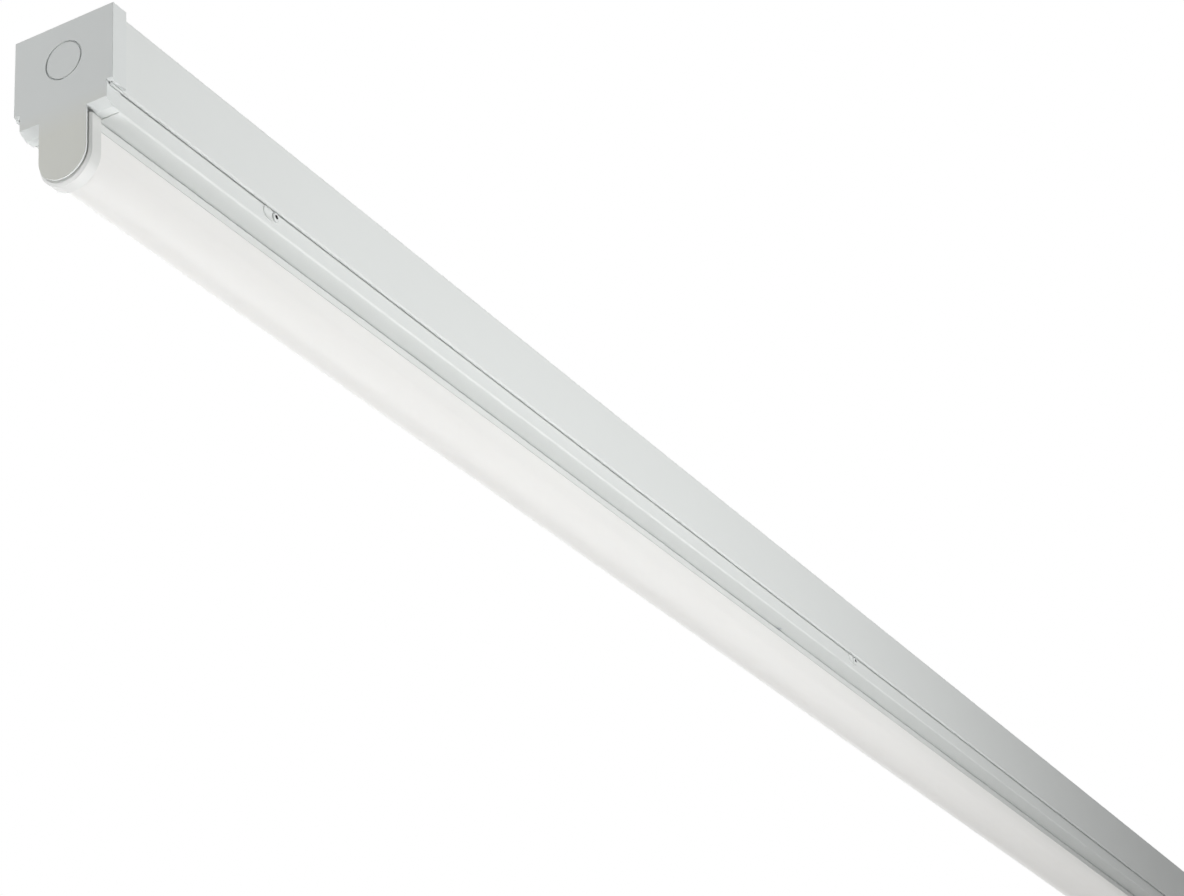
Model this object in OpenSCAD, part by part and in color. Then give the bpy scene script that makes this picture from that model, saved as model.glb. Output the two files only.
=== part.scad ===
// Linear batten light: a folded steel spine that is screwed to the ceiling, a gear tray that drops
// out of it, an LED rail with an opal diffuser under the tray, and a moulded cap on each end.
// X runs along the batten, +Z is up, and the origin is the middle of the ceiling plane.

/* [Overall] */
// Length over both end caps
overall_len = 1760; // [1700:10:1800]
// From the ceiling plane, where the fixing pads touch, to the spine's top sheet
ceiling_gap = 1.8; // [1:0.1:3]

/* [Spine] */
// Width over the spine's sides
spine_w = 56.4; // [55.6:0.2:62]
// Height from the spine's foot to its top sheet
spine_h = 44.7; // [42:0.1:60]
// Sheet thickness of the spine
spine_t = 0.8; // [0.6:0.1:1.2]
// Outer bend radius along the spine's top edges
spine_top_r = 2; // [1.4:0.1:3]
// Outer bend radius along the spine's feet
spine_foot_r = 1.2; // [0.9:0.1:4]
// Gap from the edge of each foot to the tray's flange
lip_gap = 0.8; // [0.4:0.1:1]

/* [Ceiling fixings] */
// Distance between the two fixing slots
slot_pitch = 1200; // [900:10:1240]
// Width of a fixing slot
slot_w = 5.5; // [4.5:0.1:6.5]
// Length of a fixing slot, end to end
slot_len = 16; // [10:0.5:20]
// Diameter of the raised pad round a fixing slot
pad_d = 28; // [26:0.5:34]
// Distance between the two conduit box screw holes beside the middle cable entry
box_pitch = 50.8; // [48:0.1:54]
// Diameter of a conduit box screw hole
box_hole_d = 4.5; // [4:0.1:5.5]
// Diameter of the raised pad round a conduit box screw hole
box_pad_d = 15; // [13:0.5:18]
// Diameter of the cable entries in the spine's top
entry_d = 20; // [16:0.5:22]
// Distance between the two spare cable entries
spare_pitch = 1000; // [700:10:1100]

/* [Gear tray] */
// Width over the tray's flanges
tray_w = 51.6; // [50:0.2:53]
// From the spine's foot down to the tray's underside
tray_drop = 10.9; // [10.6:0.1:16]
// Height of the tray's flanges, from its underside
flange_h = 34; // [26:0.5:36]
// Sheet thickness of the tray
tray_t = 0.7; // [0.5:0.1:1]
// Outer bend radius along the tray's lower edges
tray_r = 1.2; // [1:0.1:3]

/* [Retaining screws] */
// From the batten's end to the first retaining screw
screw_inset = 141.2; // [60:0.2:240]
// Retaining screws along each side
screw_count = 3; // [2:1:5]
// Shank diameter of a retaining screw
screw_d = 3; // [2.5:0.5:4]
// Head diameter of a retaining screw
screw_head_d = 5.2; // [4.6:0.1:6]
// Head height of a retaining screw
screw_head_h = 1.2; // [1:0.1:1.8]
// Hexagon socket of a retaining screw, across its flats
socket_w = 2.4; // [2:0.1:3]
// Length of the pressed oval rim round a retaining screw
rim_len = 14; // [11:0.2:20]
// Width of the rim
rim_w = 0.8; // [0.6:0.1:1.2]
// How far the rim stands out of the flange
rim_out = 0.45; // [0.3:0.05:0.55]
// Height of a retaining screw above the tray's underside
screw_rise = 7.9; // [5.5:0.1:8]
// Width of a tray hanger
hanger_w = 14; // [10:0.5:20]
// Sheet thickness of a tray hanger
hanger_t = 1.2; // [1:0.1:1.6]
// Width of a captive nut across its flats
nut_w = 5.5; // [5:0.1:7]
// Thickness of a captive nut
nut_t = 2.4; // [2:0.1:3.2]

/* [LED rail] */
// Width over the rail, and over the diffuser below it
rail_w = 28; // [27:0.2:34]
// Height of the rail
rail_h = 6; // [5.4:0.1:8]
// Wall of the rail
rail_t = 1.2; // [1:0.1:1.6]
// Outer bend radius along the rail's top edges
rail_r = 1.8; // [1.7:0.1:2.6]

/* [Diffuser] */
// From the rail's lower edge to the lowest point of the diffuser
diffuser_drop = 27.2; // [20:0.2:36]
// Wall of the diffuser
diffuser_t = 1.3; // [1:0.1:1.6]
// Height of the diffuser's legs inside the rail
leg_h = 3.4; // [2.5:0.1:3.8]

/* [Diffuser ends] */
// Thickness of the end wall of a diffuser end
closure_t = 1.5; // [1:0.1:2]
// Wall of the rim round the diffuser
closure_rim = 1.6; // [1.2:0.1:2]
// Depth of a diffuser end along the batten
closure_depth = 6.4; // [5:0.1:9]
// Extra depth of the rim below the diffuser
closure_sag = 0.8; // [0:0.1:1.5]
// Bevel round the front of a diffuser end
closure_bevel = 1.2; // [0.5:0.1:1.4]

/* [End caps] */
// Height of the block's lower front edge above the spine's foot
block_step = 2.5; // [1.6:0.1:4]
// Height of the band's lower front edge above the tray's underside
band_step = 3.5; // [2:0.1:5]
// How far the tongue stands past the diffuser on each side
tongue_side = 0.3; // [0:0.1:0.8]
// How far the tongue stands past the diffuser at its tip
tongue_tip = 0.4; // [0:0.1:1]
// Thickness of the tongue
tongue_t = 1; // [0.8:0.1:1.2]
// Depth of the cap along the batten
cap_depth = 10.5; // [9:0.1:16]
// Wall of the cap
cap_wall = 1.6; // [1.2:0.1:1.7]
// Depth of the bevel under the block
block_bevel = 2.6; // [1:0.1:4]
// Depth of the bevel under the band
band_bevel = 5; // [2:0.1:7]
// Length of the ribs that reach into the spine
spigot_len = 10; // [6:0.5:16]
// Diameter of the conduit knockout disc
knockout_d = 20.4; // [16:0.1:25]
// Width of the groove round the knockout disc
knockout_groove = 0.9; // [0.4:0.1:1.2]
// Thickness of the knockout disc
knockout_t = 0.9; // [0.6:0.1:1]
// From the ceiling plane down to the middle of the knockout disc
knockout_drop = 22.1; // [16:0.1:26]

/* [LED boards] */
// Boards in a row
board_count = 3; // [3:2:5]
// Width of a board
board_w = 20; // [16:0.5:21]
// Thickness of a board
board_t = 1.2; // [1:0.1:1.6]
// Gap between two boards
board_gap = 16; // [15:0.5:20]
// Spacing of the LEDs
led_pitch = 18; // [14:0.5:30]
// Side of a square LED
led_w = 3; // [2:0.1:3.5]
// Height of a LED
led_h = 0.8; // [0.5:0.1:1.2]

/* [Driver] */
// Length of the driver's case
driver_len = 140; // [110:1:150]
// Width of the driver's case
driver_w = 36; // [30:0.5:38]
// Height of the driver's case, without its cover
case_h = 15; // [12:0.5:18]
// Height of the driver's cover
cover_h = 9; // [6:0.5:10]
// Thickness of the insulating sheet under the driver
sheet_t = 0.4; // [0.2:0.1:0.8]
// From the driver's LED end to the hole that the LED leads pass through
driver_to_feed = 26; // [24:1:32]

/* [Mains connection] */
// Length of the terminal block
block_len = 44; // [38:1:48]
// Width of the terminal block
block_w = 24; // [22:0.5:30]
// Height of the terminal block
terminal_h = 20; // [16:0.5:22]
// From the middle of the batten to the terminal block's wire entries
terminal_x = 40; // [38:1:44]
// Spacing of the three poles
pole_pitch = 7; // [6:0.1:7.5]
// Length of a plug blade above the plug
blade_len = 9; // [6:0.5:11]
// Thickness of a plug blade
blade_t = 0.8; // [0.6:0.1:1]
// Width of a plug blade
blade_w = 6; // [4:0.1:6.5]
// Outer diameter of a mains lead
lead_d = 2.6; // [2:0.1:3]
// Outer diameter of a LED lead
led_lead_d = 1.6; // [1.2:0.1:1.8]

/* [Clearances] */
// Gap between pieces that slide past each other
slide_gap = 0.3; // [0.2:0.05:0.4]
// Gap between pieces that seat on each other
seat_gap = 0.2; // [0.1:0.05:0.3]
// Gap all round a shank in its hole
shank_gap = 0.15; // [0.05:0.05:0.3]

/* [Hidden] */

$fn = 48;
eps = 0.01;
white = [0.93, 0.94, 0.93];
steel = [0.72, 0.73, 0.74];

// Heights, measured down from the ceiling plane
spine_top_z = -ceiling_gap;
spine_in_z = spine_top_z - spine_t;
spine_foot_z = spine_top_z - spine_h;
tray_under_z = spine_foot_z - tray_drop;
tray_floor_z = tray_under_z + tray_t;
flange_top_z = tray_under_z + flange_h;
screw_z = tray_under_z + screw_rise;
rail_under_z = tray_under_z - rail_h;
web_under_z = tray_under_z - rail_t;
board_under_z = web_under_z - board_t;
diffuser_top_z = rail_under_z - seat_gap;
diffuser_low_z = rail_under_z - diffuser_drop;
round_z = diffuser_low_z + rail_w / 2;
block_low_z = spine_foot_z + block_step;
block_rear_z = spine_foot_z + slide_gap;
band_low_z = tray_under_z + band_step;
band_rear_z = tray_under_z + seat_gap;
tongue_low_z = diffuser_low_z - tongue_tip;

// Places along the batten, measured from its middle
end_x = overall_len / 2;
spine_end_x = end_x - cap_wall - seat_gap;
tray_end_x = end_x - cap_depth - slide_gap;
closure_x = end_x - cap_wall - seat_gap;
diffuser_end_x = closure_x - closure_t;
rail_end_x = diffuser_end_x - seat_gap;
screw_reach = end_x - screw_inset;
rim_h = screw_head_d + 2 * (seat_gap + rim_w);
screw_xs = [for (i = [0 : screw_count - 1]) screw_reach * (2 * i / (screw_count - 1) - 1)];

// Places across the batten
cap_w = spine_w + 2 * (slide_gap + cap_wall);
band_w = tray_w + 2 * (lip_gap - seat_gap);
tongue_w = rail_w + 2 * tongue_side;
hanger_out_y = tray_w / 2 - tray_t - slide_gap;
hanger_in_y = hanger_out_y - hanger_t;
nut_out_y = hanger_in_y - slide_gap;

// LED boards
rivet_inset = 7;
board_end_x = tray_end_x - 2 * rivet_inset;
board_len = (2 * board_end_x - (board_count - 1) * board_gap) / board_count;
board_step = board_len + board_gap;
board_xs = [for (i = [0 : board_count - 1]) (i - (board_count - 1) / 2) * board_step];
gap_xs = [for (i = [1 : board_count - 1]) board_xs[i] - board_step / 2];
rivet_xs = concat([rivet_inset - tray_end_x], gap_xs, [tray_end_x - rivet_inset]);
rivet_y = 7.6;
rivet_r = 1.6;
rivet_head_r = 2.4;
rivet_head_h = 1;
board_screw_y = 7;
board_screw_r = 1.5;
board_screw_head_r = 2.6;
board_screw_head_h = 1.6;
board_screw_inset = 22;
screw_tip = 0.05;
led_margin = 18;
leds_per_board = floor((board_len - 2 * led_margin) / led_pitch) + 1;
link_y = -8.6;
link_w = 4;
link_h = 2.6;
link_bite = 6;

// LED feed, through the board gap past the driver
feed_x = gap_xs[len(gap_xs) - 1];
feed_hole_r = 3.6;
feed_bore_r = 2.6;
feed_flange_r = 4.8;
feed_gap = 4;
feed_len = 10;
feed_w = 7;
feed_h = 3.2;
led_lead_y = 1.1;
lead_bite = 0.3;
lead_rest = 0.1;
led_lead_z = tray_floor_z + 9;

// Driver
driver_end_x = feed_x - driver_to_feed;
driver_x = driver_end_x - driver_len;
sheet_z = tray_floor_z + sheet_t;
case_top_z = sheet_z + case_h;
lug_len = 9;
lug_w = 8;
lug_h = 3;
lug_y = 12;
lug_xs = [driver_x - lug_len / 2, driver_end_x + lug_len / 2];
gear_screw_r = 1.5;
gear_screw_head_r = 2.8;
gear_screw_head_h = 2;
driver_terminal_len = 13;
driver_terminal_w = 15;
driver_terminal_h = 11;

// Mains connection
terminal_low_z = spine_in_z - terminal_h;
wire_x = -terminal_x;
terminal_end_x = wire_x - block_len;
blade_x = terminal_end_x + 12;
plug_top_z = terminal_low_z - slide_gap;
plug_len = 18;
plug_w = 22;
plug_foot_len = 30;
plug_foot_h = lug_h;
plug_screw_xs = [blade_x - 12, blade_x + 12];
pole_ys = [-pole_pitch, 0, pole_pitch];
clamp_x = wire_x - 10;
wire_bore_r = 2;
wire_bore_len = 15;
wire_z = terminal_low_z + 10;
terminal_foot = 5;
terminal_foot_h = 3;
terminal_rivet_xs = [wire_x + terminal_foot / 2, terminal_end_x - terminal_foot / 2];
clamp_screw_r = 1.8;
clamp_well_r = 2.6;
clamp_screw_h = 7;
mains_lead_z = tray_floor_z + 8;

// Earth stud, on the tray's floor beside the plug
earth_step = 34;
earth_x = blade_x - earth_step;
earth_y = -14;
earth_r = 2;
earth_h = 11;
tag_r = 4.2;
tag_t = 0.8;
earth_nut_r = 4;
earth_nut_h = 3.2;

// Routes of the leads, as points joined by rounded corners
mains_start_x = blade_x + plug_len / 2 - lead_bite;
mains_end_x = driver_x - driver_terminal_len + lead_bite;
mains_end_z = tray_floor_z + 6;
earth_start_x = blade_x - plug_len / 2 + lead_bite;
earth_lead_z = tray_floor_z + lead_d / 2;
led_start_x = driver_end_x + driver_terminal_len - lead_bite;
feed_z = board_under_z - feed_h / 2;
feed_socket_x = feed_x + board_gap / 2 + feed_gap;
lead_floor_z = tray_floor_z + lead_d / 2 + lead_rest;
function mains_route(side) = [[mains_start_x, side * 7, mains_lead_z],
    [mains_start_x + 9, side * 7, mains_lead_z], [mains_start_x + 24, side * 6, lead_floor_z],
    [mains_end_x - 24, side * 4, lead_floor_z], [mains_end_x - 9, side * 4, mains_end_z],
    [mains_end_x, side * 4, mains_end_z]];
earth_route = [[earth_start_x, 0, mains_lead_z], [earth_start_x - 10, 0, mains_lead_z],
    [earth_x + tag_r + 8, earth_y, earth_lead_z], [earth_x + tag_r + 1, earth_y, earth_lead_z]];
function led_route(side) = [[led_start_x, side * 4, led_lead_z],
    [led_start_x + 3, side * 4, led_lead_z], [feed_x, side * led_lead_y, led_lead_z],
    [feed_x, side * led_lead_y, feed_z], [feed_socket_x + lead_bite, side * led_lead_y, feed_z]];

// Points round part of a circle, from angle a0 to angle a1
function arc(c, r, a0, a1, n = 6) =
    [for (i = [0 : n]) c + r * [cos(a0 + (a1 - a0) * i / n), sin(a0 + (a1 - a0) * i / n)]];

// Outline of a folded section: half width, lower and upper edge, and the bend radii
function folded(half_w, low, high, r_low, r_top) = concat(
    arc([half_w - r_low, low + r_low], r_low, -90, 0),
    arc([half_w - r_top, high - r_top], r_top, 0, 90),
    arc([r_top - half_w, high - r_top], r_top, 90, 180),
    arc([r_low - half_w, low + r_low], r_low, 180, 270));

// Sweeps a tube along rounded corners
function unit(v) = v / norm(v);
function corner(a, b, c, r, n) =
    let (ra = min(r, norm(a - b) / 2.2), rc = min(r, norm(c - b) / 2.2),
        p = b + ra * unit(a - b), q = b + rc * unit(c - b))
    [for (i = [0 : n]) let (t = i / n) (1 - t) * (1 - t) * p + 2 * t * (1 - t) * b + t * t * q];
function rounded(pts, r, n = 4) = concat([pts[0]],
    [for (i = [1 : len(pts) - 2]) each corner(pts[i - 1], pts[i], pts[i + 1], r, n)],
    [pts[len(pts) - 1]]);
function heading(p, i) = unit(p[min(i + 1, len(p) - 1)] - p[max(i - 1, 0)]);
function carry(p, i, up) = i == 0 ? up :
    let (u = carry(p, i - 1, up), h = heading(p, i)) unit(u - (u * h) * h);
module tube(pts, d, bend, sides = 8) {
    p = rounded(pts, bend);
    n = len(p);
    ring = [for (i = [0 : n - 1]) let (h = heading(p, i), u = carry(p, i, [0, 0.6, 0.8]),
        v = unit(u - (u * h) * h), w = cross(h, v))
        for (k = [0 : sides - 1]) p[i] + d / 2 * (cos(360 * k / sides) * v + sin(360 * k / sides) * w)];
    walls = [for (i = [0 : n - 2], k = [0 : sides - 1])
        let (a = i * sides + k, b = i * sides + (k + 1) % sides)
        each [[a, a + sides, b], [b, a + sides, b + sides]]];
    ends = [[for (k = [0 : sides - 1]) k], [for (k = [sides - 1 : -1 : 0]) (n - 1) * sides + k]];
    polyhedron(ring, concat(walls, ends), convexity = 4);
}

// Extrudes a section drawn across and up, from x0 to x1 along the batten
module run(x0, x1) translate([x0, 0, 0]) rotate([90, 0, 90]) linear_extrude(x1 - x0) children();

// Extrudes a profile drawn along the batten and up, w wide across it
module across(w) translate([0, w / 2, 0]) rotate([90, 0, 0]) linear_extrude(w) children();

// Box between two corners
module box(a, b) translate(a) cube(b - a);

// Places something drawn for the near end, with x as the depth from the end face, at either end
module at_end(far) mirror([far ? 1 : 0, 0, 0]) translate([-end_x, 0, 0]) children();

// Outline of the diffuser: straight sides and a round underside
module u_outline(half_w, top, centre) {
    translate([-half_w, centre]) square([2 * half_w, top - centre]);
    translate([0, centre]) circle(r = half_w, $fn = 96);
}

// Slot along the batten, w wide and l long end to end
module slot(l, w, h) {
    for (s = [-1, 1]) translate([s * (l - w) / 2, 0, 0]) cylinder(h = h, d = w);
    translate([-(l - w) / 2, -w / 2, 0]) cube([l - w, w, h]);
}

// Raised pad pressed up from the spine's top sheet
module pad(d) translate([0, 0, spine_top_z]) cylinder(h = ceiling_gap, d1 = d, d2 = d - 2 * ceiling_gap);
module pad_hollow(d) translate([0, 0, spine_in_z - eps])
    cylinder(h = ceiling_gap + eps, d1 = d - 1.2 * spine_t, d2 = d - 1.2 * spine_t - 2 * ceiling_gap);

module spine_channel() color(white) difference() {
    union() {
        run(-spine_end_x, spine_end_x) difference() {
            polygon(folded(spine_w / 2, spine_foot_z, spine_top_z, spine_foot_r, spine_top_r));
            polygon(folded(spine_w / 2 - spine_t, spine_foot_z + spine_t, spine_in_z,
                spine_foot_r - spine_t, spine_top_r - spine_t));
            translate([-tray_w / 2 - lip_gap, spine_foot_z - 1])
                square([tray_w + 2 * lip_gap, spine_foot_r + 1]);
        }
        for (s = [-1, 1]) translate([s * slot_pitch / 2, 0, 0]) pad(pad_d);
        for (s = [-1, 1]) translate([s * box_pitch / 2, 0, 0]) pad(box_pad_d);
    }
    for (s = [-1, 1]) translate([s * slot_pitch / 2, 0, 0]) {
        pad_hollow(pad_d);
        translate([0, 0, spine_in_z - 1]) slot(slot_len, slot_w, ceiling_gap + spine_t + 2);
    }
    for (s = [-1, 1]) translate([s * box_pitch / 2, 0, 0]) {
        pad_hollow(box_pad_d);
        translate([0, 0, spine_in_z - 1]) cylinder(h = ceiling_gap + spine_t + 2, d = box_hole_d);
    }
    for (x = [-spare_pitch / 2, 0, spare_pitch / 2])
        translate([x, 0, spine_in_z - 1]) cylinder(h = spine_t + 2, d = entry_d);
}

// Hangers inside the spine: each has a slot, open below, that the screw's shank drops out of
module tray_hangers() color(steel) for (x = screw_xs, s = [0, 1]) mirror([0, s, 0]) {
    difference() {
        box([x - hanger_w / 2, hanger_in_y, tray_floor_z + 1.5],
            [x + hanger_w / 2, hanger_out_y, spine_in_z]);
        translate([x, hanger_in_y - 1, screw_z]) rotate([-90, 0, 0])
            cylinder(h = hanger_t + 2, d = screw_d + 2 * slide_gap);
        box([x - screw_d / 2 - slide_gap, hanger_in_y - 1, tray_floor_z],
            [x + screw_d / 2 + slide_gap, hanger_out_y + 1, screw_z]);
    }
    box([x - hanger_w / 2, hanger_in_y - 9, spine_in_z - hanger_t],
        [x + hanger_w / 2, hanger_out_y, spine_in_z]);
}

// Terminal block under the spine's top: supply wires enter beside the middle entry, blades from below
module terminal_block() color([0.9, 0.9, 0.86]) difference() {
    union() {
        box([terminal_end_x, -block_w / 2, terminal_low_z], [wire_x, block_w / 2, spine_in_z]);
        box([terminal_end_x - terminal_foot, -block_w / 4, spine_in_z - terminal_foot_h],
            [wire_x + terminal_foot, block_w / 4, spine_in_z]);
    }
    for (y = pole_ys) {
        translate([wire_x - wire_bore_len, y, wire_z]) rotate([0, 90, 0])
            cylinder(h = wire_bore_len + 1, r = wire_bore_r);
        translate([clamp_x, y, terminal_low_z - 1]) cylinder(h = 3, r = clamp_well_r);
        translate([clamp_x, y, terminal_low_z]) cylinder(h = 10, r = clamp_screw_r + 0.05);
        box([blade_x - blade_w / 2 - slide_gap, y - blade_t / 2 - slide_gap, terminal_low_z - 1],
            [blade_x + blade_w / 2 + slide_gap, y + blade_t / 2 + slide_gap, terminal_low_z + blade_len + 1]);
    }
    for (x = terminal_rivet_xs) translate([x, 0, spine_in_z - terminal_foot_h - 1])
        cylinder(h = terminal_foot_h + 2, r = rivet_r + shank_gap);
}

module terminal_screws() color("goldenrod") for (y = pole_ys)
    translate([clamp_x, y, wire_z - wire_bore_r - clamp_screw_h]) difference() {
        cylinder(h = clamp_screw_h, r = clamp_screw_r);
        box([-clamp_screw_r - 1, -0.4, -1], [clamp_screw_r + 1, 0.4, 1.2]);
    }

module terminal_rivets() color(steel) for (x = terminal_rivet_xs)
    translate([x, 0, spine_in_z - terminal_foot_h]) {
        translate([0, 0, -rivet_head_h]) cylinder(h = rivet_head_h, r = rivet_head_r);
        translate([0, 0, -rivet_head_h / 2]) cylinder(h = terminal_foot_h + rivet_head_h / 2, r = rivet_r);
    }

// Rubber ring round the middle cable entry
module entry_grommet() color([0.12, 0.12, 0.12]) rotate_extrude() {
    r = entry_d / 2;
    polygon([[r - 3, spine_in_z - 1.4], [r + 1.6, spine_in_z - 1.4], [r + 1.6, spine_in_z],
        [r - 0.1, spine_in_z], [r - 0.1, spine_top_z], [r + 1.4, spine_top_z],
        [r + 0.8, spine_top_z + 1.2], [r - 2.2, spine_top_z + 1.2], [r - 3, spine_top_z]]);
}

// Blanking grommets that close the spare cable entries
module entry_blanks() color([0.85, 0.85, 0.84]) for (s = [-1, 1])
    translate([s * spare_pitch / 2, 0, 0]) rotate_extrude() {
        r = entry_d / 2;
        polygon([[0, spine_in_z - 1], [r + 1.6, spine_in_z - 1], [r + 1.6, spine_in_z],
            [r - 0.1, spine_in_z], [r - 0.1, spine_top_z], [r + 1, spine_top_z],
            [r + 0.4, spine_top_z + 1], [0, spine_top_z + 1]]);
    }

// Pressed oval rim that stands out of a flange, with the screw at its end towards +X
module oval_rim() translate([0, tray_t / 2 + rim_out, 0]) rotate([90, 0, 0])
    linear_extrude(height = tray_t / 2 + rim_out) difference() {
        oval(rim_len, rim_h);
        oval(rim_len - 2 * rim_w, rim_h - 2 * rim_w);
    }

module oval(len, high) {
    square([len - high, high], center = true);
    for (s = [-1, 1]) translate([s * (len - high) / 2, 0]) circle(d = high);
}

module gear_tray() color(white) difference() {
    union() {
        run(-tray_end_x, tray_end_x) difference() {
            polygon(folded(tray_w / 2, tray_under_z, flange_top_z + tray_w, tray_r, 1));
            polygon(folded(tray_w / 2 - tray_t, tray_floor_z, flange_top_z + 1.1 * tray_w, tray_r - tray_t, 1));
            translate([-tray_w, flange_top_z]) square(2 * tray_w);
        }
        for (x = screw_xs, s = [0, 1]) mirror([0, s, 0])
            translate([x - (rim_len - rim_h) / 2, tray_w / 2 - tray_t / 2, screw_z]) oval_rim();
    }
    for (x = screw_xs) translate([x, tray_w, screw_z]) rotate([90, 0, 0])
        cylinder(h = 2 * tray_w, d = screw_d + 2 * shank_gap);
    for (x = rivet_xs) translate([x, rivet_y, tray_under_z - 1])
        cylinder(h = tray_t + 2, r = rivet_r + shank_gap);
    board_screw_holes(tray_under_z - 1, tray_t + 2);
    translate([feed_x, 0, tray_under_z - 1]) cylinder(h = tray_t + 2, r = feed_hole_r);
    gear_screw_places() translate([0, 0, tray_under_z - 1])
        cylinder(h = tray_t + 2, r = gear_screw_r + shank_gap);
    translate([earth_x, earth_y, tray_under_z - 1]) cylinder(h = tray_t + 2, r = earth_r + shank_gap);
}

board_screw_xs = [for (x = board_xs, s = [-1, 0, 1]) x + s * (board_len / 2 - board_screw_inset)];

// Places something at each screw that holds the driver and the plug down on the tray
module gear_screw_places() {
    for (x = lug_xs) translate([x, lug_y, 0]) children();
    for (x = plug_screw_xs) translate([x, 0, 0]) children();
}

module board_screw_holes(z, h) for (x = board_screw_xs) translate([x, board_screw_y, z])
    cylinder(h = h, r = board_screw_r + shank_gap);

// Pan head with a cross recess, its underside at z = 0 and its top towards +z
module pan_head(d, h, recess) difference() {
    rotate_extrude() polygon(concat([[0, 0]], arc([d / 2 - h * 0.6, h * 0.4], h * 0.6, 0, 90), [[0, h]]));
    for (a = [0, 90]) rotate([0, 0, a]) translate([-recess / 2, -recess * 0.13, h * 0.35])
        cube([recess, recess * 0.26, h]);
}

// Low head with a hexagon socket, its underside at z = 0
module socket_head(d, h, flats) difference() {
    rotate_extrude() polygon([[0, 0], [d / 2, 0], [d / 2, h * 0.7], [d / 2 - h * 0.3, h], [0, h]]);
    translate([0, 0, h * 0.2]) linear_extrude(height = h)
        polygon([for (a = [0 : 60 : 300]) flats / (2 * cos(30)) * [cos(a), sin(a)]]);
}

module tray_screws() color(white) for (x = screw_xs, s = [0, 1]) mirror([0, s, 0])
    translate([x, tray_w / 2, screw_z]) rotate([-90, 0, 0]) union() {
        socket_head(screw_head_d, screw_head_h, socket_w);
        translate([0, 0, nut_out_y - nut_t - 1 - tray_w / 2])
            cylinder(h = tray_w / 2 - nut_out_y + nut_t + 1.2, d = screw_d);
    }

module tray_nuts() color(steel) for (x = screw_xs, s = [0, 1]) mirror([0, s, 0])
    difference() {
        box([x - nut_w / 2, nut_out_y - nut_t, screw_z - nut_w / 2],
            [x + nut_w / 2, nut_out_y, screw_z + nut_w / 2]);
        translate([x, nut_out_y - nut_t - 1, screw_z]) rotate([-90, 0, 0])
            cylinder(h = nut_t + 2, d = screw_d + 2 * 0.05);
    }

module led_rail() color(white) difference() {
    run(-rail_end_x, rail_end_x) difference() {
        polygon(folded(rail_w / 2, rail_under_z - rail_h, tray_under_z, 1, rail_r));
        polygon(folded(rail_w / 2 - rail_t, rail_under_z - 1.5 * rail_h, web_under_z, 1, rail_r - rail_t));
        translate([-rail_w, rail_under_z - 2 * rail_h]) square([2 * rail_w, 2 * rail_h]);
    }
    for (x = rivet_xs) translate([x, rivet_y, web_under_z - 1])
        cylinder(h = rail_t + 2, r = rivet_r + shank_gap);
    board_screw_holes(web_under_z - 1, rail_t + 2);
    translate([feed_x, 0, web_under_z - 1]) cylinder(h = rail_t + 2, r = feed_hole_r);
}

// Rivets that hold the rail up to the tray; the outermost pair comes below the caps' bands
module rail_rivets() color(steel) for (x = rivet_xs) translate([x, rivet_y, 0]) {
    translate([0, 0, web_under_z - rivet_head_h]) cylinder(h = rivet_head_h, r = rivet_head_r);
    translate([0, 0, web_under_z - 0.5]) cylinder(h = rail_t + tray_t + 0.6, r = rivet_r);
    translate([0, 0, tray_floor_z]) cylinder(h = rivet_head_h, r = rivet_head_r);
}

module led_boards() color([0.95, 0.95, 0.93]) for (x = board_xs) difference() {
    box([x - board_len / 2, -board_w / 2, board_under_z], [x + board_len / 2, board_w / 2, web_under_z]);
    board_screw_holes(board_under_z - 1, board_t + 2);
}

module led_packages() color([0.98, 0.85, 0.35]) for (x = board_xs, i = [0 : leds_per_board - 1])
    translate([x + (i - (leds_per_board - 1) / 2) * led_pitch - led_w / 2, -led_w / 2, board_under_z - led_h])
        cube([led_w, led_w, led_h]);

module board_screws() color(steel) for (x = board_screw_xs) translate([x, board_screw_y, board_under_z])
    mirror([0, 0, 1]) {
        pan_head(2 * board_screw_head_r, board_screw_head_h, board_screw_head_r);
        translate([0, 0, screw_tip - board_t - rail_t - tray_t])
            cylinder(h = board_t + rail_t + tray_t, r = board_screw_r);
    }

// Links that carry the supply from one board to the next
module board_links() color([0.97, 0.97, 0.95]) for (x = gap_xs)
    box([x - board_gap / 2 - link_bite, link_y, board_under_z - link_h],
        [x + board_gap / 2 + link_bite, link_y + link_w, board_under_z]);

// Socket on the board that the LED leads end in
module board_feed() color([0.97, 0.97, 0.95]) box(
    [feed_x + board_gap / 2 + feed_gap, -feed_w / 2, board_under_z - feed_h],
    [feed_x + board_gap / 2 + feed_gap + feed_len, feed_w / 2, board_under_z]);

module driver_case() color([0.94, 0.94, 0.93]) difference() {
    union() {
        box([driver_x, -driver_w / 2, sheet_z], [driver_end_x, driver_w / 2, case_top_z]);
        for (x = lug_xs) box([x - lug_len / 2, lug_y - lug_w / 2, tray_floor_z],
            [x + lug_len / 2, lug_y + lug_w / 2, tray_floor_z + lug_h]);
    }
    gear_screw_places() translate([0, 0, tray_floor_z - 1])
        cylinder(h = lug_h + 2, r = gear_screw_r + shank_gap);
    for (y = [-1, 1]) box([driver_x - 1, y * driver_w / 2 - 0.6, case_top_z - 3],
        [driver_end_x + 1, y * driver_w / 2 + 0.6, case_top_z - 2]);
}

module driver_cover() color([0.88, 0.89, 0.9]) difference() {
    run(driver_x, driver_end_x) polygon(folded(driver_w / 2, case_top_z, case_top_z + cover_h, 0.5, 3));
    for (i = [-4 : 4]) box([driver_x + driver_len / 2 + i * 12 - 1.2, -9, case_top_z + cover_h - 2],
        [driver_x + driver_len / 2 + i * 12 + 1.2, 9, case_top_z + cover_h + 1]);
}

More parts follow.
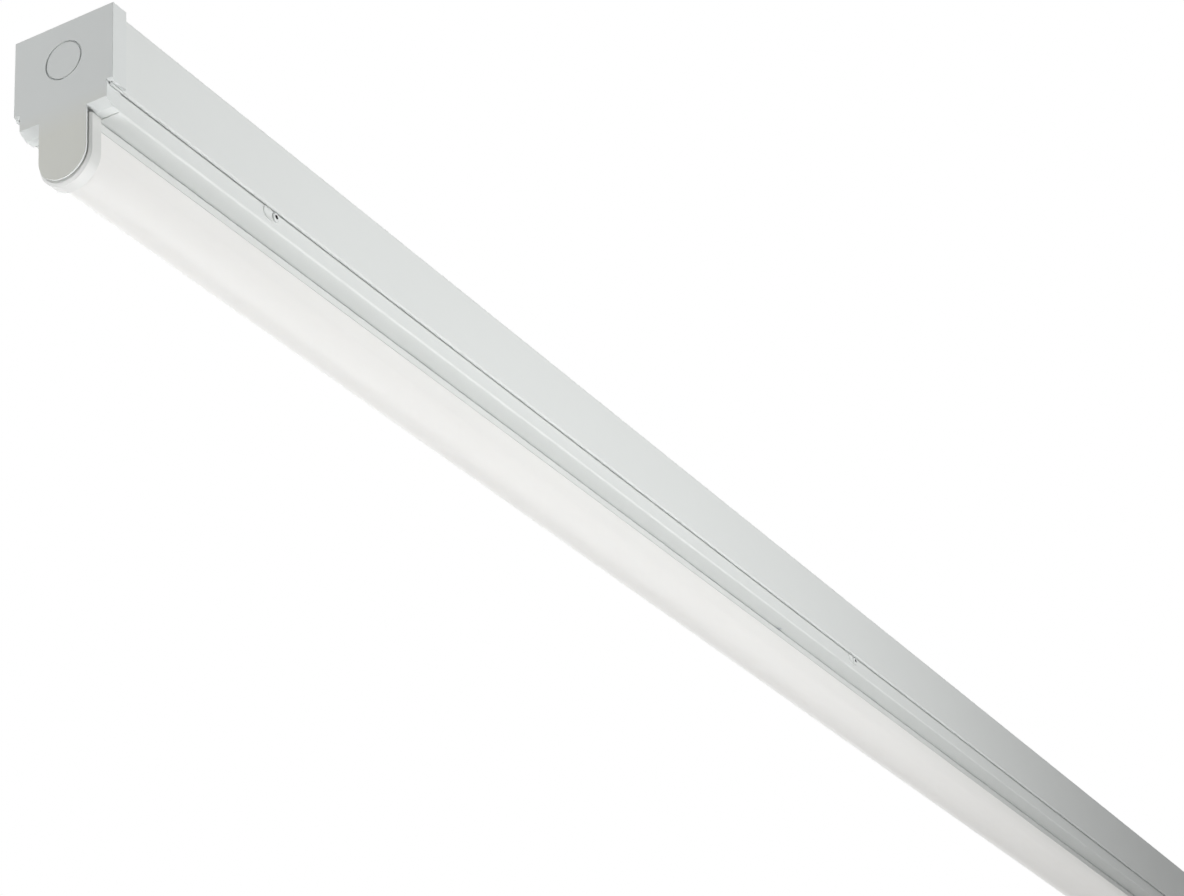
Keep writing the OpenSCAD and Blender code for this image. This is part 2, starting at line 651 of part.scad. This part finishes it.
// Terminals at both ends of the driver, each with its wire entries and test slots
module driver_terminals() color([0.9, 0.9, 0.88]) for (far = [false, true])
    translate([far ? driver_end_x : driver_x, 0, 0]) mirror([far ? 0 : 1, 0, 0]) difference() {
        box([0, -driver_terminal_w / 2, sheet_z], [driver_terminal_len, driver_terminal_w / 2,
            sheet_z + driver_terminal_h]);
        for (y = [-4, 4]) box([4, y - 1.2, sheet_z + driver_terminal_h - 2.5],
            [9, y + 1.2, sheet_z + driver_terminal_h + 1]);
    }

module gear_screws() color(steel) gear_screw_places() translate([0, 0, tray_floor_z + lug_h]) {
    pan_head(2 * gear_screw_head_r, gear_screw_head_h, gear_screw_head_r);
    translate([0, 0, screw_tip - lug_h - tray_t]) cylinder(h = lug_h + tray_t, r = gear_screw_r);
}

module insulating_sheet() color([0.85, 0.88, 0.9])
    box([driver_x, -driver_w / 2 - 1, tray_floor_z], [driver_end_x, driver_w / 2 + 1, sheet_z]);

// Plug on the tray, whose blades reach up into the terminal block while the tray is closed
module plug_body() color([0.9, 0.9, 0.86]) difference() {
    union() {
        box([blade_x - plug_len / 2, -plug_w / 2, tray_floor_z],
            [blade_x + plug_len / 2, plug_w / 2, plug_top_z]);
        box([blade_x - plug_foot_len / 2, -plug_w / 2, tray_floor_z],
            [blade_x + plug_foot_len / 2, plug_w / 2, tray_floor_z + plug_foot_h]);
    }
    gear_screw_places() translate([0, 0, tray_floor_z - 1])
        cylinder(h = plug_foot_h + 2, r = gear_screw_r + shank_gap);
    for (s = [-1, 1]) box([blade_x + s * plug_len / 2 - 1, -plug_w / 2 + 3, plug_top_z - 14],
        [blade_x + s * plug_len / 2 + 1, plug_w / 2 - 3, plug_top_z - 5]);
}

module plug_blades() color("goldenrod") for (y = pole_ys)
    translate([blade_x, y, plug_top_z - 0.3]) rotate([90, 0, 0]) translate([0, 0, -blade_t / 2])
        linear_extrude(blade_t) polygon([[-blade_w / 2, 0], [blade_w / 2, 0],
            [blade_w / 2, blade_len - 0.7], [blade_w / 2 - 1, blade_len + 0.3],
            [1 - blade_w / 2, blade_len + 0.3], [-blade_w / 2, blade_len - 0.7]]);

module mains_leads() color([0.35, 0.25, 0.2]) for (side = [-1, 1]) tube(mains_route(side), lead_d, 4);

// Earth lead with the tag that the nut holds down
module earth_lead() color([0.3, 0.55, 0.2]) {
    tube(earth_route, lead_d, 5);
    difference() {
        translate([0, 0, tray_floor_z]) union() {
            translate([earth_x, earth_y, 0]) cylinder(h = tag_t, r = tag_r);
            box([earth_x, earth_y - lead_d / 2, 0], [earth_x + tag_r + 3, earth_y + lead_d / 2, tag_t]);
        }
        translate([earth_x, earth_y, tray_floor_z - 1]) cylinder(h = tag_t + 2, r = earth_r + shank_gap);
    }
}

// Stud with a thin clinched head, flush in the tray's floor
module earth_stud() color(steel) translate([earth_x, earth_y, tray_under_z + 0.05])
    cylinder(h = tray_t + earth_h, r = earth_r);

module earth_nut() color(steel) translate([earth_x, earth_y, tray_floor_z + tag_t]) difference() {
    cylinder(h = earth_nut_h, r = earth_nut_r, $fn = 6);
    translate([0, 0, -1]) cylinder(h = earth_nut_h + 2, r = earth_r + 0.05);
}

module led_leads() color([0.75, 0.15, 0.12]) for (side = [-1, 1]) tube(led_route(side), led_lead_d, 3);

// Rubber ring that guards the LED leads where they pass the tray and the rail
module lead_grommet() color([0.12, 0.12, 0.12]) translate([feed_x, 0, 0]) rotate_extrude() polygon([
    [feed_bore_r, web_under_z - 1], [feed_flange_r, web_under_z - 1], [feed_flange_r, web_under_z],
    [feed_hole_r - 0.05, web_under_z], [feed_hole_r - 0.05, tray_floor_z], [feed_flange_r, tray_floor_z],
    [feed_flange_r, tray_floor_z + 1], [feed_bore_r, tray_floor_z + 1]]);

// Opal diffuser: straight sides, a round underside, and two legs that grip inside the rail
module diffuser() color([0.97, 0.97, 0.95]) run(-diffuser_end_x, diffuser_end_x) {
    leg_out = rail_w / 2 - rail_t - seat_gap;
    difference() {
        u_outline(rail_w / 2, diffuser_top_z, round_z);
        u_outline(rail_w / 2 - diffuser_t, diffuser_top_z - diffuser_t, round_z);
        translate([diffuser_t - leg_out, diffuser_top_z - diffuser_t - 1])
            square([2 * (leg_out - diffuser_t), diffuser_t + 2]);
    }
    for (y = [-leg_out, leg_out - diffuser_t])
        translate([y, diffuser_top_z - diffuser_t]) square([diffuser_t, diffuser_t + leg_h]);
}

// Round-ended cup that closes the diffuser, drawn for the near end
module diffuser_end(far) at_end(far) {
    half_out = rail_w / 2 + seat_gap + closure_rim;
    half_front = half_out - closure_bevel;
    len = closure_t + closure_depth;
    top = band_rear_z - slide_gap;
    x0 = end_x - closure_x;
    difference() {
        translate([x0, 0, round_z - closure_sag]) {
            rotate([0, 90, 0]) cylinder(h = closure_bevel, r1 = half_front, r2 = half_out, $fn = 96);
            translate([closure_bevel, 0, 0]) rotate([0, 90, 0])
                cylinder(h = len - closure_bevel, r = half_out, $fn = 96);
            linear_extrude(top - round_z + closure_sag) polygon([[0, -half_front], [closure_bevel, -half_out],
                [len, -half_out], [len, half_out], [closure_bevel, half_out], [0, half_front]]);
        }
        run(x0 + closure_t, x0 + len + 1) u_outline(rail_w / 2 + seat_gap, top + 1, round_z);
    }
}
module diffuser_end_near() color(white) diffuser_end(false);
module diffuser_end_far() color(white) diffuser_end(true);

// End cap, drawn for the near end: a block round the spine, a band under the tray's end, a
// round-ended tongue over the diffuser's end, and two ribs that grip inside the spine
module end_cap(far) at_end(far) {
    inner_w = cap_w - 2 * cap_wall;
    inner_band = band_w - 2 * cap_wall;
    top_z = spine_top_z + slide_gap;
    rib_y = spine_w / 2 - spine_t - seat_gap;
    rib_t = 1.4;
    rib_h = 12;
    rib_low_z = flange_top_z + 5;
    seat_x = knockout_t + 0.1;
    difference() {
        union() {
            difference() {
                across(cap_w) polygon([[0, 0], [cap_depth, 0], [cap_depth, block_rear_z],
                    [block_bevel, block_rear_z], [0, block_low_z]]);
                box([cap_wall, -inner_w / 2, block_rear_z - 1], [cap_depth + 1, inner_w / 2, top_z]);
            }
            difference() {
                across(band_w) polygon([[0, block_low_z + 1], [cap_depth, block_low_z + 1],
                    [cap_depth, band_rear_z], [band_bevel, band_rear_z], [0, band_low_z]]);
                across(inner_band) polygon([[cap_wall, block_low_z + 2], [cap_depth + 1, block_low_z + 2],
                    [cap_depth + 1, band_rear_z + 1.2], [band_bevel + 0.4, band_rear_z + 1.2],
                    [cap_wall, band_low_z + 0.8]]);
            }
            run(0, tongue_t) u_outline(tongue_w / 2, band_low_z + 1, tongue_low_z + tongue_w / 2);
            for (s = [0, 1]) mirror([0, s, 0])
                box([cap_wall - 0.5, rib_y - rib_t, rib_low_z],
                    [cap_depth + spigot_len, rib_y, rib_low_z + rib_h]);
        }
        translate([-1, 0, -knockout_drop]) rotate([0, 90, 0])
            cylinder(h = 1 + seat_x, r = knockout_d / 2 + knockout_groove);
        translate([0, 0, -knockout_drop]) rotate([0, 90, 0])
            cylinder(h = cap_wall + 1, r = knockout_d / 2 - 0.5);
    }
}
module end_cap_near() color([0.86, 0.88, 0.88]) end_cap(false);
module end_cap_far() color([0.86, 0.88, 0.88]) end_cap(true);

// Disc that is pushed out for a conduit
module knockout(far) at_end(far) translate([0.1, 0, -knockout_drop]) rotate([0, 90, 0])
    cylinder(h = knockout_t, d = knockout_d);
module knockout_near() color([0.84, 0.86, 0.86]) knockout(false);
module knockout_far() color([0.84, 0.86, 0.86]) knockout(true);

spine_channel();
tray_hangers();
terminal_block();
terminal_screws();
terminal_rivets();
entry_grommet();
entry_blanks();
gear_tray();
tray_screws();
tray_nuts();
led_rail();
rail_rivets();
led_boards();
led_packages();
board_screws();
board_links();
board_feed();
driver_case();
driver_cover();
driver_terminals();
gear_screws();
insulating_sheet();
plug_body();
plug_blades();
mains_leads();
earth_lead();
earth_stud();
earth_nut();
led_leads();
lead_grommet();
diffuser();
diffuser_end_near();
diffuser_end_far();
end_cap_near();
end_cap_far();
knockout_near();
knockout_far();
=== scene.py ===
"""Linear batten light, seen from below and from one end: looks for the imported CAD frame."""

import bpy
from mathutils import Matrix, Vector


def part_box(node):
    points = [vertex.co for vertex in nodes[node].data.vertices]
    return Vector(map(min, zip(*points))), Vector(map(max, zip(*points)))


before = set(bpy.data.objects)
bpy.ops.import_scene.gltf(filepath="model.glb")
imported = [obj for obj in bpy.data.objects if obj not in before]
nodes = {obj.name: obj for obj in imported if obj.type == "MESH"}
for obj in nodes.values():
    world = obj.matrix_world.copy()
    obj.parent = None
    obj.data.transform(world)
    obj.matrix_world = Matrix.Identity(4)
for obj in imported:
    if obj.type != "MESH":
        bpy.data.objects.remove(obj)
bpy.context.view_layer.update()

# Camera, fitted to the photograph
CAM_AT = (-1.74407, -0.70346, -0.83070)
CAM_RIGHT = (0.48373, -0.87178, -0.07749)
CAM_DOWN = (0.37384, 0.28586, -0.88234)
CAM_FORWARD = (0.79136, 0.39785, 0.46418)
CAM_LENS = 83.43
SENSOR = 36.0
CLIP_NEAR = 0.02
CLIP_FAR = 300.0


def add_camera():
    data = bpy.data.cameras.new("camera")
    data.sensor_fit = "HORIZONTAL"
    data.sensor_width = SENSOR
    data.lens = CAM_LENS
    data.clip_start = CLIP_NEAR
    data.clip_end = CLIP_FAR
    cam = bpy.data.objects.new("camera", data)
    bpy.context.scene.collection.objects.link(cam)
    right, down, forward = Vector(CAM_RIGHT), Vector(CAM_DOWN), Vector(CAM_FORWARD)
    turn = Matrix((right, -down, -forward)).transposed().to_4x4()
    cam.matrix_world = Matrix.Translation(CAM_AT) @ turn
    bpy.context.scene.camera = cam


add_camera()

# Colours of what the photograph shows
PAINT = (0.735, 0.755, 0.743)
RAIL_PAINT = (0.655, 0.669, 0.658)
CAP = (0.688, 0.712, 0.704)
# Painted shade: a warmer, darker tone low on the caps' end faces, where shade falls
CAP_END_SHADE = (0.690, 0.698, 0.650)
CLOSURE = (0.640, 0.650, 0.632)
# Painted light: a lighter tone round the closures' lower curve
CLOSURE_PAINTED_LIGHT = (0.735, 0.740, 0.728)
# The opal is kept darker, and its painted glow makes up the rest of its brightness
OPAL = (0.530, 0.530, 0.525)
OPAL_SCATTER = (1.0, 0.95, 0.88)
OPAL_PAINTED_GLOW = (1.0, 0.985, 0.95)
# Painted shade: near black in each screw's socket, where shade falls
SOCKET_PAINTED_SHADE = (0.012, 0.012, 0.012)

# Colours of what is inside
ZINC = (0.66, 0.68, 0.71)
BRASS = (0.80, 0.62, 0.28)
CONNECTOR = (0.80, 0.79, 0.74)
DRIVER = (0.84, 0.84, 0.83)
BLACK_RUBBER = (0.035, 0.035, 0.036)
GREY_RUBBER = (0.58, 0.58, 0.57)
BROWN_LEAD = (0.16, 0.075, 0.04)
BLUE_LEAD = (0.05, 0.16, 0.42)
GREEN_LEAD = (0.08, 0.32, 0.07)
YELLOW_STRIPE = (0.72, 0.66, 0.06)
BLACK_LEAD = (0.03, 0.03, 0.03)
RED_LEAD = (0.55, 0.04, 0.03)
SHEET = (0.72, 0.76, 0.78)
BOARD_MASK = (0.86, 0.86, 0.83)
BOARD_TRACK = (0.80, 0.80, 0.76)
LED_HOUSING = (0.86, 0.86, 0.84)
LED_FACE = (0.90, 0.66, 0.12)

# Colours of the studio
WHITE = (1.0, 1.0, 1.0)
FLOOR_GREY = (0.86, 0.86, 0.86)

# Heights between which a moulded piece turns from its own colour to a painted tone: painted shade low on
# the caps' end faces, painted light round the closures' lower curve
CAP_SHADE_TURN_Z = (-0.046, -0.064)
CLOSURE_LIGHT_TURN_Z = (-0.0838, -0.0870)

# Radius of the painted shade in a screw's socket, and how far under the head's face that painted shade
# starts
SOCKET_RADIUS = 0.00145
SOCKET_UNDER_FACE = 0.00007

# Distance of a board's tracks from its middle line, and how much of the relief is theirs
TRACK_NEAR = 0.0026
TRACK_FAR = 0.0048
TRACK_RELIEF = 0.7

# Wave along the earth lead, in radians for each metre, and the level above which it is striped
STRIPE_RATE = 2600.0
STRIPE_LEVEL = 0.35

# Normals beyond these count as an end face along X and as an underside along Z
END_FACE = 0.9
UNDERSIDE = -0.5

# Noise lies mostly between these values
NOISE_LOW = 0.3
NOISE_HIGH = 0.7

# Stretch of a noise along X, Y and Z
EVEN = (1, 1, 1)
ROLLED = (0.02, 1, 1)
DRAWN = (0.01, 1, 1)
BRUSHED_UP = (1, 1, 0.2)

# Samples of the bevel that softens edges in the bump
EDGE_SAMPLES = 4


# Small helpers for node trees
class Tree:
    """Nodes of a material or of the world, with short calls that make and join them."""

    def __init__(self, owner):
        owner.use_nodes = True
        self.tree = owner.node_tree

    def feed(self, socket, value):
        """Give a socket a plain value, or link another node's output to it."""
        if isinstance(value, bpy.types.NodeSocket):
            self.tree.links.new(value, socket)
        elif socket.type == "RGBA":
            socket.default_value = (*value, 1.0)
        else:
            socket.default_value = value

    def node(self, kind, inputs=None, **settings):
        """A new node; inputs says by name or number what feeds each of its inputs."""
        new = self.tree.nodes.new(kind)
        for key, value in settings.items():
            setattr(new, key, value)
        for key, value in (inputs or {}).items():
            self.feed(new.inputs[key], value)
        return new

    def math(self, kind, *values):
        return self.node("ShaderNodeMath", dict(enumerate(values)), operation=kind).outputs[0]

    def mix_shaders(self, factor, first, second):
        return self.node("ShaderNodeMixShader", {0: factor, 1: first, 2: second}).outputs[0]

    def seen_directly(self):
        """1 for camera, glossy and transmission rays, which see the background as white."""
        path = self.node("ShaderNodeLightPath").outputs
        either = self.math("MAXIMUM", path["Is Camera Ray"], path["Is Glossy Ray"])
        return self.math("MAXIMUM", either, path["Is Transmission Ray"])


class Surface(Tree):
    """A new material with its main shader, in the coordinates of the part."""

    def __init__(self, name):
        self.mat = bpy.data.materials.new(name)
        super().__init__(self.mat)
        self.shader = self.tree.nodes["Principled BSDF"]
        self.coord = self.node("ShaderNodeTexCoord").outputs["Object"]

    def noise(self, scale, detail=2.0, stretch=EVEN):
        place = self.node("ShaderNodeMapping", {"Scale": stretch, "Vector": self.coord})
        inputs = {"Scale": scale, "Detail": detail, "Vector": place.outputs["Vector"]}
        return self.node("ShaderNodeTexNoise", inputs).outputs["Fac"]

    def remap(self, source, start, end, low=0.0, high=1.0):
        inputs = {"Value": source, "From Min": start, "From Max": end, "To Min": low, "To Max": high}
        return self.node("ShaderNodeMapRange", inputs).outputs["Result"]

    def blend(self, factor, first, second):
        inputs = {"Factor": factor, "A": first, "B": second}
        return self.node("ShaderNodeMix", inputs, data_type="RGBA").outputs["Result"]

    def component(self, vector, letter):
        return self.node("ShaderNodeSeparateXYZ", {"Vector": vector}).outputs[letter]

    def axis(self, letter):
        return self.component(self.coord, letter)

    def facing(self, letter):
        return self.component(self.node("ShaderNodeNewGeometry").outputs["Normal"], letter)

    def color(self, source):
        self.feed(self.shader.inputs["Base Color"], source)

    def drift(self, color, noise, low, high):
        """A colour that drifts with the noise from its low tone to its high one."""
        self.color(self.blend(noise, tone(color, low), tone(color, high)))

    def rough(self, noise, low, high):
        self.feed(self.shader.inputs["Roughness"], self.remap(noise, NOISE_LOW, NOISE_HIGH, low, high))

    def bump(self, height, strength, distance, edge=0.0):
        inputs = {"Strength": strength, "Distance": distance, "Height": height}
        if edge:
            soft = self.node("ShaderNodeBevel", {"Radius": edge}, samples=EDGE_SAMPLES)
            inputs["Normal"] = soft.outputs["Normal"]
        self.feed(self.shader.inputs["Normal"], self.node("ShaderNodeBump", inputs).outputs["Normal"])

    def set(self, **values):
        for key, value in values.items():
            self.feed(self.shader.inputs[key.replace("_", " ")], value)


def tone(color, factor):
    return tuple(min(1.0, part * factor) for part in color)


def dress(mat, *names):
    for name in names:
        slots = nodes[name].data.materials
        slots.clear()
        slots.append(mat)


def powder_coat(name, color):
    """Satin powder coat: faint drift of colour, and a fine orange peel."""
    s = Surface(name)
    s.drift(color, s.noise(9.0, detail=3.0), low=0.985, high=1.012)
    s.rough(s.noise(60.0, detail=3.0), low=0.52, high=0.62)
    s.bump(s.noise(900.0), strength=0.10, distance=0.00012, edge=0.0004)
    s.set(Specular_IOR_Level=0.08)
    return s.mat


def socket_screws(name, color):
    """Painted heads of three screws along each side, with painted shade, near black, in the socket on
    each one's axis.
    """
    low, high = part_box("tray_screws")
    middle_z = (low.z + high.z) / 2
    head_radius = (high.z - low.z) / 2
    pitch = high.x - head_radius
    s = Surface(name)
    along = s.math("WRAP", s.axis("X"), pitch / 2, -pitch / 2)
    up = s.math("SUBTRACT", s.axis("Z"), middle_z)
    reach = s.math("SQRT", s.math("ADD", s.math("MULTIPLY", along, along), s.math("MULTIPLY", up, up)))
    near_axis = s.math("LESS_THAN", reach, SOCKET_RADIUS)
    under_face = s.math("LESS_THAN", s.math("ABSOLUTE", s.axis("Y")), high.y - SOCKET_UNDER_FACE)
    # Painted shade: the socket goes near black, as shade inside it
    s.color(s.blend(s.math("MULTIPLY", near_axis, under_face), color, SOCKET_PAINTED_SHADE))
    s.rough(s.noise(300.0), low=0.46, high=0.58)
    s.bump(s.noise(900.0), strength=0.08, distance=0.0001, edge=0.0002)
    return s.mat


def mould_grain(s, scale=2600.0, strength=0.12):
    """The fine grain that an etched tool leaves on plastic."""
    s.rough(s.noise(120.0), low=0.44, high=0.54)
    s.bump(s.noise(scale), strength=strength, distance=0.00008, edge=0.0003)


def moulded(name, color, grain, strength):
    """Moulded plastic of one colour."""
    s = Surface(name)
    s.drift(color, s.noise(14.0, detail=3.0), low=0.985, high=1.012)
    mould_grain(s, grain, strength)
    return s.mat


def moulded_with_painted_light(name, first, second, turn_z, ends_only=False):
    """Moulded plastic that turns further down to a painted tone, all over or on end faces alone: painted
    shade on the caps, painted light on the closures.
    """
    s = Surface(name)
    # Share of the painted tone, rising further down
    share = s.remap(s.axis("Z"), *turn_z)
    if ends_only:
        on_end = s.math("GREATER_THAN", s.math("ABSOLUTE", s.facing("X")), END_FACE)
        share = s.math("MULTIPLY", share, on_end)
    pale = s.math("MULTIPLY", s.noise(14.0, detail=3.0), 0.06)
    s.color(s.blend(pale, s.blend(share, first, second), WHITE))
    mould_grain(s)
    return s.mat


def opal(name, color):
    """Extruded opal sheet: satin, with faint draw lines along it, light spreading inside, and a painted
    glow though its LEDs are not lit.
    """
    s = Surface(name)
    s.drift(color, s.noise(6.0), low=0.99, high=1.008)
    s.rough(s.noise(260.0, stretch=ROLLED), low=0.30, high=0.38)
    s.bump(s.noise(700.0, stretch=DRAWN), strength=0.05, distance=0.00006)
    # The emission is a painted glow, not a lamp
    s.set(Specular_IOR_Level=0.35, Subsurface_Weight=0.5, Subsurface_Radius=OPAL_SCATTER,
          Subsurface_Scale=0.006, Emission_Color=OPAL_PAINTED_GLOW, Emission_Strength=0.24)
    return s.mat


def metal(name, color, low, high, stretch=EVEN):
    """Bare metal between two roughnesses, with fine marks along its stretch."""
    s = Surface(name)
    s.drift(color, s.noise(200.0, 3.0, stretch), low=0.88, high=1.06)
    s.rough(s.noise(500.0, 3.0, stretch), low, high)
    s.bump(s.noise(1000.0, stretch=stretch), strength=0.08, distance=0.00005, edge=0.00015)
    s.set(Metallic=1.0)
    return s.mat


def rubber(name, color):
    """Dull rubber with a coarse skin."""
    s = Surface(name)
    s.drift(color, s.noise(300.0, detail=3.0), low=0.8, high=1.25)
    s.rough(s.noise(200.0), low=0.62, high=0.8)
    s.bump(s.noise(1500.0), strength=0.15, distance=0.0001)
    return s.mat


def sleeve_sheen(s):
    """The soft sheen of a lead's insulation."""
    s.rough(s.noise(500.0), low=0.35, high=0.45)
    s.bump(s.noise(1200.0), strength=0.05, distance=0.00005)


def sleeving(name, first, second):
    """Two leads in one node: one colour on each side of the batten's middle plane."""
    s = Surface(name)
    side = s.math("GREATER_THAN", s.axis("Y"), 0.0)
    deep = s.blend(side, tone(first, 0.9), tone(second, 0.9))
    s.color(s.blend(s.noise(400.0), deep, s.blend(side, first, second)))
    sleeve_sheen(s)
    return s.mat


def striped_sleeving(name, base, stripe):
    """A lead with a stripe that comes round again and again along it."""
    s = Surface(name)
    wave = s.math("SINE", s.math("MULTIPLY", s.axis("Z"), STRIPE_RATE))
    s.color(s.blend(s.math("GREATER_THAN", wave, STRIPE_LEVEL), base, stripe))
    sleeve_sheen(s)
    return s.mat


def circuit_board(name):
    """White solder mask over copper tracks that run along the board."""
    s = Surface(name)
    across = s.math("ABSOLUTE", s.axis("Y"))
    track = s.math("MULTIPLY", s.math("GREATER_THAN", across, TRACK_NEAR),
                   s.math("LESS_THAN", across, TRACK_FAR))
    s.color(s.blend(track, BOARD_MASK, BOARD_TRACK))
    s.rough(s.noise(300.0), low=0.30, high=0.42)
    relief = s.math("MULTIPLY", track, TRACK_RELIEF)
    grain = s.math("MULTIPLY", s.noise(1600.0), 1 - TRACK_RELIEF)
    s.bump(s.math("ADD", relief, grain), strength=0.3, distance=0.00005)
    return s.mat


def led_package(name):
    """White housing whose light-giving face, underneath, is yellow."""
    s = Surface(name)
    s.color(s.blend(s.math("LESS_THAN", s.facing("Z"), UNDERSIDE), LED_HOUSING, LED_FACE))
    s.rough(s.noise(900.0), low=0.2, high=0.34)
    s.bump(s.noise(2500.0), strength=0.05, distance=0.00004)
    return s.mat


def film(name, color):
    """Smooth insulating film with a slight wave in it."""
    s = Surface(name)
    s.drift(color, s.noise(80.0), low=0.95, high=1.0)
    s.rough(s.noise(200.0), low=0.16, high=0.28)
    s.bump(s.noise(90.0), strength=0.1, distance=0.0002)
    return s.mat


# Outer pieces
dress(powder_coat("body_paint", PAINT), "spine_channel", "gear_tray")
dress(powder_coat("rail_paint", RAIL_PAINT), "led_rail")
dress(socket_screws("screw_paint", PAINT), "tray_screws")
# The caps get painted shade low on their end faces
dress(moulded_with_painted_light("cap_plastic", CAP, CAP_END_SHADE, CAP_SHADE_TURN_Z, ends_only=True),
      "end_cap_near", "end_cap_far", "knockout_near", "knockout_far")
# The closures get painted light round their lower curve
dress(moulded_with_painted_light("closure_plastic", CLOSURE, CLOSURE_PAINTED_LIGHT, CLOSURE_LIGHT_TURN_Z),
      "diffuser_end_near", "diffuser_end_far")
dress(opal("opal", OPAL), "diffuser")

# Metal, plastic and rubber inside
dress(metal("zinc", ZINC, low=0.28, high=0.44), "tray_hangers", "tray_nuts", "terminal_rivets",
      "rail_rivets", "board_screws", "gear_screws", "earth_stud", "earth_nut")
dress(metal("brass", BRASS, low=0.22, high=0.38, stretch=BRUSHED_UP), "terminal_screws", "plug_blades")
dress(moulded("connector_plastic", CONNECTOR, grain=1800.0, strength=0.12),
      "terminal_block", "plug_body", "driver_terminals", "board_links", "board_feed")
dress(moulded("driver_plastic", DRIVER, grain=1500.0, strength=0.2), "driver_case", "driver_cover")
dress(rubber("black_rubber", BLACK_RUBBER), "entry_grommet", "lead_grommet")
dress(rubber("grey_rubber", GREY_RUBBER), "entry_blanks")
dress(film("sheet_plastic", SHEET), "insulating_sheet")

# Boards and leads
dress(circuit_board("board_mask"), "led_boards")
dress(led_package("led_lens"), "led_packages")
dress(sleeving("mains_insulation", BROWN_LEAD, BLUE_LEAD), "mains_leads")
dress(striped_sleeving("earth_insulation", GREEN_LEAD, YELLOW_STRIPE), "earth_lead")
dress(sleeving("led_insulation", BLACK_LEAD, RED_LEAD), "led_leads")

# Lights: soft studio lamps, plus the world
WORLD_LEVEL = 0.22
LIGHTS = (
    # name, place, aim, width, height, watts
    ("side_near", (-0.80, -0.90, -0.08), (-0.75, 0.0, -0.04), 0.5, 0.4, 3.75),
    ("side_mid", (-0.12, -0.90, -0.08), (-0.15, 0.0, -0.04), 0.5, 0.4, 3.4),
    ("under_near", (-0.72, -0.25, -0.95), (-0.72, 0.0, -0.06), 0.5, 0.3, 2.6),
    ("under_mid", (0.00, -0.25, -0.95), (-0.05, 0.0, -0.06), 0.5, 0.3, 2.2),
    ("below_near", (-0.60, 0.34, -0.95), (-0.60, 0.0, -0.08), 0.6, 0.3, 1.2),
    ("end_high", (-1.20, 0.10, 0.22), (-0.88, 0.0, -0.02), 0.3, 0.3, 0.42),
    ("end_low", (-1.50, 0.35, -0.75), (-0.88, 0.0, -0.05), 0.4, 0.4, 5.3),
    ("back_fill", (0.10, 1.80, 0.40), (0.0, 0.0, -0.05), 1.8, 1.2, 18.0),
    ("top_fill", (0.0, 0.90, 1.50), (0.0, 0.0, -0.05), 2.2, 1.2, 12.0),
    ("end_far", (2.00, 0.30, 0.10), (0.88, 0.0, -0.05), 0.8, 0.8, 6.0),
)


def add_light(name, place, aim, width, height, watts):
    data = bpy.data.lights.new(name, "AREA")
    data.shape = "RECTANGLE"
    data.size = width
    data.size_y = height
    data.energy = watts
    lamp = bpy.data.objects.new(name, data)
    lamp.location = place
    lamp.rotation_euler = (Vector(aim) - Vector(place)).to_track_quat("-Z", "Y").to_euler()
    lamp.visible_camera = False
    lamp.visible_glossy = False
    bpy.context.scene.collection.objects.link(lamp)


def set_world():
    """Soft even light on the part, and plain white where the background is seen."""
    world = bpy.data.worlds.new("studio")
    bpy.context.scene.world = world
    t = Tree(world)
    t.tree.nodes.clear()
    soft = t.node("ShaderNodeBackground", {"Color": WHITE, "Strength": WORLD_LEVEL}).outputs[0]
    white = t.node("ShaderNodeBackground", {"Color": WHITE, "Strength": 1.0}).outputs[0]
    t.node("ShaderNodeOutputWorld", {"Surface": t.mix_shaders(t.seen_directly(), soft, white)})


for spec in LIGHTS:
    add_light(*spec)
set_world()

# Floor of the studio, so far below the batten that it hides nothing in views from below
FLOOR_Z = -6.0
FLOOR_HALF = 90.0
FLOOR_WHITE_SHARE = 0.97


def add_floor():
    mesh = bpy.data.meshes.new("studio_floor")
    corners = [(x * FLOOR_HALF, y * FLOOR_HALF, FLOOR_Z) for x, y in ((-1, -1), (1, -1), (1, 1), (-1, 1))]
    mesh.from_pydata(corners, [], [(0, 1, 2, 3)])
    floor = bpy.data.objects.new("studio_floor", mesh)
    bpy.context.scene.collection.objects.link(floor)
    mat = bpy.data.materials.new("studio_floor")
    t = Tree(mat)
    t.tree.nodes.clear()
    matte = t.node("ShaderNodeBsdfDiffuse", {"Color": FLOOR_GREY}).outputs[0]
    white = t.node("ShaderNodeEmission", {"Strength": 1.0}).outputs[0]
    share = t.math("MULTIPLY", t.seen_directly(), FLOOR_WHITE_SHARE)
    t.node("ShaderNodeOutputMaterial", {"Surface": t.mix_shaders(share, matte, white)})
    mesh.materials.append(mat)


add_floor()

bpy.context.scene.view_settings.view_transform = "Standard"
